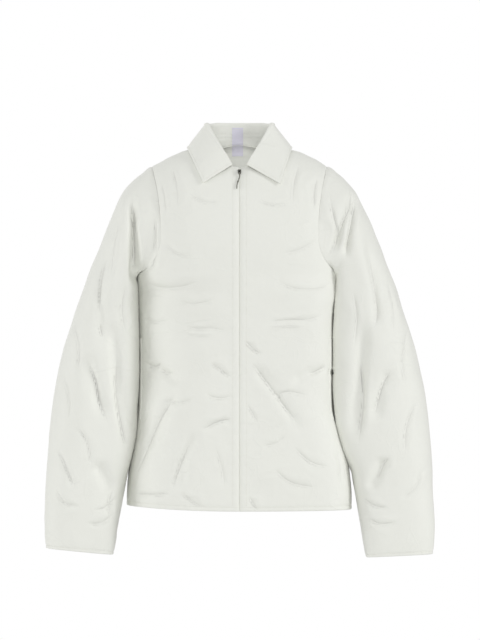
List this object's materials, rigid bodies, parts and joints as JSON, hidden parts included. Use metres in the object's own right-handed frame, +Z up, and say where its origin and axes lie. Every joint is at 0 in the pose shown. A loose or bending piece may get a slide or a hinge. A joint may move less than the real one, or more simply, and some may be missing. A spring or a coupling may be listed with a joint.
{
  "type": "padded jacket",
  "caption": "Hollow padded jacket with a turned-down collar, set-in sleeves, side pockets and a full front zip whose pull swings.",
  "frame": {"origin": "middle of the neck where the wearer's neck and shoulders carry the jacket, level with the neck seam and over the middle of the body", "axes": "+Z up, the front with its zip faces -Y, +X is the wearer's left"},
  "size_m": [0.74, 0.2972, 0.8225],
  "materials": {
    "shell": "satin",
    "ribbon": "satin",
    "zip_tape": "matt",
    "zip_teeth": "matt",
    "dark_metal": "satin",
    "grey_metal": "satin",
    "cordage": "matt"
  },
  "bodies": {
    "jacket": {"front_right": "shell", "front_left": "shell", "back": "shell", "sleeve_right": "shell", "sleeve_left": "shell", "collar": "shell", "neck_label": "ribbon", "pocket_welt_right": "shell", "pocket_welt_left": "shell", "zip_tape_right": "zip_tape", "zip_tape_left": "zip_tape", "zip_chain": "zip_teeth", "zip_box": "zip_teeth", "zip_slider": "dark_metal"},
    "puller": {"pull_tab": "grey_metal", "pull_cord": "cordage"}
  },
  "joints": [
    {"name": "puller_swing", "type": "hinge", "parent": "jacket", "child": "puller", "pos_m": [0, -0.1043, -0.04043], "axis": [-1, 0, 0], "range_deg": [0, 150]}
  ]
}
